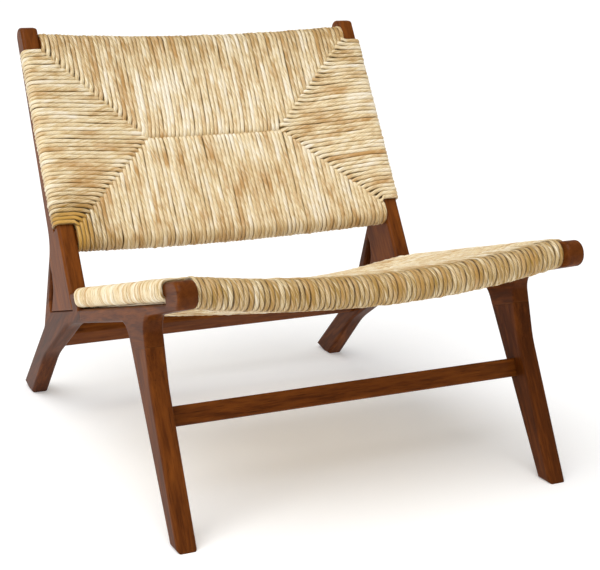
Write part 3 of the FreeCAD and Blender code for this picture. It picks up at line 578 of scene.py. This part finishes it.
def twisted_rush(name):
    """Rush cord: a dull, streaky straw colour that varies along each leaf and from turn to turn."""
    material, surface = new_material(name)

    # Place on the cord, turned with the twist
    cord_place = node(material, "ShaderNodeUVMap", uv_map="cord").outputs["UV"]
    split = node(material, "ShaderNodeSeparateXYZ", [(0, cord_place)])
    spiral = node(material, "ShaderNodeMath", [(0, split.outputs["X"])],
                  operation="MULTIPLY", in1=1000 / twist_mm).outputs[0]
    turned = node(material, "ShaderNodeMath", [(0, split.outputs["Y"]), (1, spiral)],
                  operation="ADD").outputs[0]
    angle = node(material, "ShaderNodeMath", [(0, turned)],
                 operation="MULTIPLY", in1=2 * math.pi).outputs[0]
    cosine = node(material, "ShaderNodeMath", [(0, angle)], operation="COSINE").outputs[0]
    sine = node(material, "ShaderNodeMath", [(0, angle)], operation="SINE").outputs[0]
    fibre_place = node(material, "ShaderNodeCombineXYZ",
                       [(0, split.outputs["X"]), (1, cosine), (2, sine)]).outputs[0]

    # Streaks and fibres along the cord, patches across the panel, and leaves of one batch
    streaks = node(material, "ShaderNodeMapping", [("Vector", fibre_place)],
                   Scale=(1000 / streak_mm, streak_round, streak_round)).outputs[0]
    streaks = node(material, "ShaderNodeTexNoise", [("Vector", streaks)],
                   Scale=1.0, Detail=4.0, Roughness=0.6).outputs["Fac"]
    fibres = node(material, "ShaderNodeMapping", [("Vector", fibre_place)],
                  Scale=(1000 / fibre_mm, fibre_round, fibre_round)).outputs[0]
    fibres = node(material, "ShaderNodeTexNoise", [("Vector", fibres)],
                  Scale=1.0, Detail=3.0, Roughness=0.65).outputs["Fac"]
    place = node(material, "ShaderNodeTexCoord").outputs["Object"]
    patches = node(material, "ShaderNodeTexNoise", [("Vector", place)],
                   Scale=1000 / patch_mm, Detail=2.0).outputs["Fac"]
    tone = node(material, "ShaderNodeAttribute", attribute_name="strand_tone").outputs["Fac"]
    ripe_and_shade = node(material, "ShaderNodeAttribute", attribute_name="ripe_and_shade").outputs["Fac"]
    leaf = node(material, "ShaderNodeAttribute", attribute_name="leaf").outputs["Fac"]
    leaf = node(material, "ShaderNodeMath", [(0, leaf)],
                operation="MULTIPLY", in1=1000 / leaf_mm).outputs[0]
    turn = node(material, "ShaderNodeAttribute", attribute_name="turn").outputs["Fac"]
    turn = node(material, "ShaderNodeMath", [(0, turn)],
                operation="MULTIPLY", in1=1 / leaf_turns).outputs[0]
    batch = node(material, "ShaderNodeCombineXYZ", [(0, leaf), (1, turn)]).outputs[0]
    batch = node(material, "ShaderNodeTexNoise", [("Vector", batch)],
                 Scale=1.0, Detail=4.0, Roughness=0.68).outputs["Fac"]

    # How golden a place is, summed from all of these
    golden = batch
    for part, weight in ((patches, 0.3), (streaks, 0.4), (tone, 0.07), (fibres, -0.35), (ripe_and_shade, 0.07)):
        golden = node(material, "ShaderNodeMath", [(0, part), (2, golden)],
                      operation="MULTIPLY_ADD", in1=weight).outputs[0]

    # Bleached, golden and olive leaves
    bright = node(material, "ShaderNodeMapRange", [("Value", fibres)],
                  From_Min=0.40, From_Max=0.62).outputs[0]
    bleached = node(material, "ShaderNodeMapRange", [("Value", golden)],
                    From_Min=0.70, From_Max=0.54, To_Max=0.85).outputs[0]
    warm = node(material, "ShaderNodeMapRange", [("Value", golden)],
                From_Min=0.69, From_Max=0.90, To_Max=0.9).outputs[0]
    olive = node(material, "ShaderNodeMapRange", [("Value", fibres)],
                 From_Min=0.44, From_Max=0.30, To_Max=0.62).outputs[0]

    # Worn places, mostly where the leaf was already dark, and the unfaded yellow corner
    darker = node(material, "ShaderNodeMapRange", [("Value", golden)],
                  From_Min=0.56, From_Max=0.84, To_Min=0.12, To_Max=0.85).outputs[0]
    aged = node(material, "ShaderNodeMath", [(0, tone), (2, darker)],
                operation="MULTIPLY_ADD", in1=0.5).outputs[0]
    aged = node(material, "ShaderNodeMath", [(0, aged), (1, ripe_and_shade)],
                operation="MULTIPLY", use_clamp=True).outputs[0]
    hard = node(material, "ShaderNodeMapRange", [("Value", fibres)],
                From_Min=0.42, From_Max=0.58, To_Min=1.0, To_Max=0.15).outputs[0]
    ripened = node(material, "ShaderNodeMath", [(0, aged), (1, hard)], operation="MULTIPLY").outputs[0]
    unfaded = node(material, "ShaderNodeMapRange", [("Value", ripe_and_shade)],
                   From_Min=1.0, From_Max=1.6, To_Max=0.65).outputs[0]
    colour = node(material, "ShaderNodeMix", [(0, bright)],
                  data_type="RGBA", in6=rush_straw, in7=rush_pale).outputs[2]
    for amount, tint in ((bleached, rush_white), (warm, rush_golden), (olive, rush_olive),
                         (ripened, rush_ripe), (unfaded, rush_yellow)):
        colour = node(material, "ShaderNodeMix", [(0, amount), (6, colour)],
                      data_type="RGBA", in7=tint).outputs[2]

    # Painted shade down both sides of the cord where it meets its neighbours, patchy along the cord, and
    # wider and darker where the cord is worn
    around = node(material, "ShaderNodeMath", [(0, split.outputs["Y"])],
                  operation="MULTIPLY", in1=2 * math.pi).outputs[0]
    sideways = node(material, "ShaderNodeMath", [(0, around)], operation="COSINE").outputs[0]
    sideways = node(material, "ShaderNodeMath", [(0, sideways)], operation="ABSOLUTE").outputs[0]
    sideways = node(material, "ShaderNodeMath", [(0, ripe_and_shade), (2, sideways)],
                    operation="MULTIPLY_ADD", in1=0.12).outputs[0]
    shade = node(material, "ShaderNodeMapRange", [("Value", sideways)],
                 From_Min=0.70, From_Max=0.93).outputs[0]
    # The painted shade is broken up along the cord by the streaks
    patchy_shade = node(material, "ShaderNodeMapRange", [("Value", streaks)],
                From_Min=0.38, From_Max=0.62, To_Min=0.30, To_Max=0.95).outputs[0]
    shade = node(material, "ShaderNodeMath", [(0, shade), (1, patchy_shade)], operation="MULTIPLY").outputs[0]
    shade_colour = node(material, "ShaderNodeMix", [(0, ripe_and_shade)], data_type="RGBA", clamp_factor=True,
                 in6=rush_shade, in7=rush_deep_shade).outputs[2]
    colour = node(material, "ShaderNodeMix", [(0, shade), (6, colour), (7, shade_colour)],
                  data_type="RGBA").outputs[2]
    relief = node(material, "ShaderNodeBump", [("Height", fibres)],
                  Strength=0.55, Distance=fibre_deep).outputs["Normal"]
    material.node_tree.links.new(colour, surface.inputs["Base Color"])
    material.node_tree.links.new(relief, surface.inputs["Normal"])
    surface.inputs["Roughness"].default_value = 0.5
    surface.inputs["Sheen Weight"].default_value = 0.1
    return material


rush_cord = twisted_rush("twisted_rush")

# Seat panel: hung between the front and rear seat rails, which are bowed downwards.
# Its side turns go round the battens, and stuffing gives it a low crown.
middle_run = 418.898 * mm
front_rail_back = 15 * mm
seat_high = 375 * mm
seat_angle = math.radians(14.57)
seat_along = np.array((0, math.cos(seat_angle), -math.sin(seat_angle)))
seat_out = np.array((0, math.sin(seat_angle), math.cos(seat_angle)))
seat_origin = np.array((0, front_rail_back - middle_run, seat_high))
seat_wraps = (24.3 * mm, 464 * mm)
seat_mitres = (22 * mm, 468 * mm)

# At a corner, named by its side and whether it is at the high rail, the side strands lie on top or not
side_on_top = {(-1, False): True, (-1, True): False, (1, False): True, (1, True): True}
seat = Panel("seat", seat_origin, seat_along, seat_out, long=490 * mm, bow=26 * mm, crown=4 * mm,
             strip=(-3.7 * mm, 16.3 * mm), counts=(78, 58),
             wraps={-1: seat_wraps, 1: seat_wraps},
             mitres={-1: seat_mitres, 1: seat_mitres}, over=side_on_top)

# Wear of the seat, which also deepens the painted shade between its cords: strongest on the roll over the
# front rail, and faint for a hand's breadth behind it
roll_wear, roll_start, roll_fade = 0.78, 5 * mm, 14 * mm
front_wear, front_fade = 0.26, 90 * mm


def seat_wear(x, a):
    return (roll_wear * np.exp(-np.clip(a - roll_start, 0, None) / roll_fade)
            + front_wear * np.exp(-np.clip(a, 0, None) / front_fade))


weave(seat, rush_cord, "seat_rush", seat_wear, 11)

# Back panel: the same weave between the two rails of the back, leaning as the posts do.
# Its side turns go through the slot in each post and round the strip in front of it.
post_foot_run = 501.3 * mm
post_foot_sunk = 12.5 * mm
back_rail_run = 129.2 * mm
back_rail_sunk = 13.5 * mm
lean_angle = math.radians(31.07)
lean_along = np.array((0, math.sin(lean_angle), math.cos(lean_angle)))
lean_out = np.array((0, -math.cos(lean_angle), math.sin(lean_angle)))
post_foot = seat_origin + seat_along * post_foot_run - seat_out * post_foot_sunk
back_origin = post_foot + lean_along * back_rail_run - lean_out * back_rail_sunk
back = Panel("back", back_origin, lean_along, lean_out, long=367.2 * mm, bow=22 * mm, crown=0,
             strip=(-5.5 * mm, 13.5 * mm), counts=(79, 44),
             wraps={-1: (21.8 * mm, 353.5 * mm), 1: (20.8 * mm, 354.5 * mm)},
             mitres={-1: (18 * mm, 355 * mm), 1: (16 * mm, 356 * mm)}, over=side_on_top)

# Wear of the back, which also deepens the painted shade between its cords: an unfaded,
# yellow lower left corner and a darker roll over each rail; besides, the back grows slowly darker towards
# the top
corner_x, corner_a, corner_reach, corner_wear = -305 * mm, 15 * mm, 48 * mm, 1.9
low_wear, low_fade = 0.2, 30 * mm
high_wear, high_fade = 0.25, 25 * mm
top_darkening = 0.35


def back_wear(x, a):
    from_corner = (x - corner_x) ** 2 + (a - corner_a) ** 2
    return (corner_wear * np.exp(-from_corner / corner_reach ** 2)
            + low_wear * np.exp(-a / low_fade)
            + high_wear * np.exp((a - back.long) / high_fade)
            + top_darkening * (a / back.long) ** 2)


weave(back, rush_cord, "back_rush", back_wear, 12)


# Filling: broken rush leaves pushed between the two faces of each panel as it is woven.
# It only shows as straw-coloured shade between the cords.
litter_mm = 1000 / 220
pad_side_gap = 4 * mm
pad_end_gap = 12 * mm
pad_columns, pad_rows = 61, 25
thin_side_share = 0.45
corner_run = 20 * mm
strip_clear = 3.3 * mm
cord_clear = 4.5 * mm
pad_half_thin = 1 * mm


def loose_rush(name):
    """Dull, mixed straw and brown of broken leaves."""
    material, surface = new_material(name)
    place = node(material, "ShaderNodeTexCoord").outputs["Object"]
    litter = node(material, "ShaderNodeTexNoise", [("Vector", place)], Scale=1000 / litter_mm,
                  Detail=4.0).outputs["Fac"]
    tone = node(material, "ShaderNodeValToRGB", [("Fac", litter)],
                stops=[(0.3, linear("#7A6A42")), (0.7, linear("#B8A16C"))]).outputs["Color"]
    material.node_tree.links.new(tone, surface.inputs["Base Color"])
    surface.inputs["Roughness"].default_value = 0.9
    return material


def filling(panel, material, cad_node):
    """Closed pad just inside the cords of a panel, thinned towards the side strips."""
    half = inner_half - pad_side_gap
    points = []
    for x in np.linspace(-half, half, pad_columns):
        edge = np.clip((inner_half - abs(x)) / (inner_half * thin_side_share), 0, 1)
        for a in np.linspace(pad_end_gap, panel.long - pad_end_gap, pad_rows):
            rail = min(a, panel.long - a)
            corner = np.clip((rail - panel.mitres[-1][0]) / corner_run, 0, 1)
            low = -layer * edge + (panel.strip[0] - strip_clear) * (1 - edge)
            high = layer * edge + (panel.strip[1] + strip_clear) * (1 - edge)
            low = corner * low - (1 - corner) * layer
            high = corner * high + (1 - corner) * layer
            middle = (low + high) / 2
            thick = max((high - low) / 2 - cord_clear, pad_half_thin)
            points.append((x, a, middle + thick - panel.drop(x)))
            points.append((x, a, middle - thick - panel.drop(x)))

    def at(column, row, under):
        return (column * pad_rows + row) * 2 + under

    last_column, last_row = pad_columns - 1, pad_rows - 1
    faces = []
    for i in range(last_column):
        for j in range(last_row):
            faces.append((at(i, j, 0), at(i + 1, j, 0), at(i + 1, j + 1, 0), at(i, j + 1, 0)))
            faces.append((at(i, j, 1), at(i, j + 1, 1), at(i + 1, j + 1, 1), at(i + 1, j, 1)))
    for i in range(last_column):
        faces.append((at(i, 0, 0), at(i, 0, 1), at(i + 1, 0, 1), at(i + 1, 0, 0)))
        faces.append((at(i, last_row, 0), at(i + 1, last_row, 0),
                      at(i + 1, last_row, 1), at(i, last_row, 1)))
    for j in range(last_row):
        faces.append((at(0, j, 0), at(0, j + 1, 0), at(0, j + 1, 1), at(0, j, 1)))
        faces.append((at(last_column, j, 0), at(last_column, j, 1),
                      at(last_column, j + 1, 1), at(last_column, j + 1, 0)))
    mesh = bpy.data.meshes.new(panel.name + "_filling")
    mesh.from_pydata(panel.place(np.array(points)).tolist(), [], faces)
    mesh.materials.append(material)
    piece = bpy.data.objects.new(panel.name + "_filling", mesh)
    bpy.context.scene.collection.objects.link(piece)
    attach(piece, "root")
    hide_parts(cad_node)


broken_rush = loose_rush("broken_rush")
filling(seat, broken_rush, "seat_stuffing")
filling(back, broken_rush, "back_stuffing")

# Studio: a plain white floor, soft light from above and from the left, and a bright surround.
# The surround shows white to the camera and through anything clear, and lights the chair less brightly.
floor_half = 30.0
floor_mesh = bpy.data.meshes.new("floor")
floor_mesh.from_pydata([(-floor_half, -floor_half, 0), (floor_half, -floor_half, 0),
                        (floor_half, floor_half, 0), (-floor_half, floor_half, 0)],
                       [], [(0, 1, 2, 3)])
floor = bpy.data.objects.new("floor", floor_mesh)
bpy.context.scene.collection.objects.link(floor)
paper, paper_surface = new_material("white_paper")
paper_surface.inputs["Base Color"].default_value = linear("#EDEDED")
paper_surface.inputs["Roughness"].default_value = 0.9
paper_surface.inputs["Emission Color"].default_value = (1, 1, 1, 1)
paper_surface.inputs["Emission Strength"].default_value = 0.22
floor_mesh.materials.append(paper)

world = bpy.data.worlds.new("studio")
bpy.context.scene.world = world
world.use_nodes = True
background = world.node_tree.nodes["Background"]
background.inputs["Color"].default_value = (1, 1, 1, 1)
rays = node(world, "ShaderNodeLightPath")
seen = node(world, "ShaderNodeMath", [(0, rays.outputs["Is Camera Ray"]),
                                      (1, rays.outputs["Is Transmission Ray"])], operation="MAXIMUM")
level = node(world, "ShaderNodeMapRange", [("Value", seen.outputs[0])], To_Min=0.42, To_Max=1.0)
world.node_tree.links.new(level.outputs[0], background.inputs["Strength"])


def aim_lamp(lamp, place, target):
    lamp.location = place
    aim = Vector(target) - Vector(place)
    lamp.rotation_euler = aim.to_track_quat("-Z", "Y").to_euler()
    bpy.context.scene.collection.objects.link(lamp)


sky = bpy.data.lights.new("soft_sky", "SUN")
sky.energy = 2.3
sky.angle = math.radians(60)
aim_lamp(bpy.data.objects.new("soft_sky", sky), (-1.2, -0.8, 3.4), (0, 0, 0.3))
window = bpy.data.lights.new("left_panel", "AREA")
window.energy = 7
window.shape = "RECTANGLE"
window.size = 0.9
window.size_y = 1.8
aim_lamp(bpy.data.objects.new("left_panel", window), (-2.3, -0.9, 1.3), (0, 0, 0.4))

bpy.context.scene.view_settings.view_transform = "Standard"
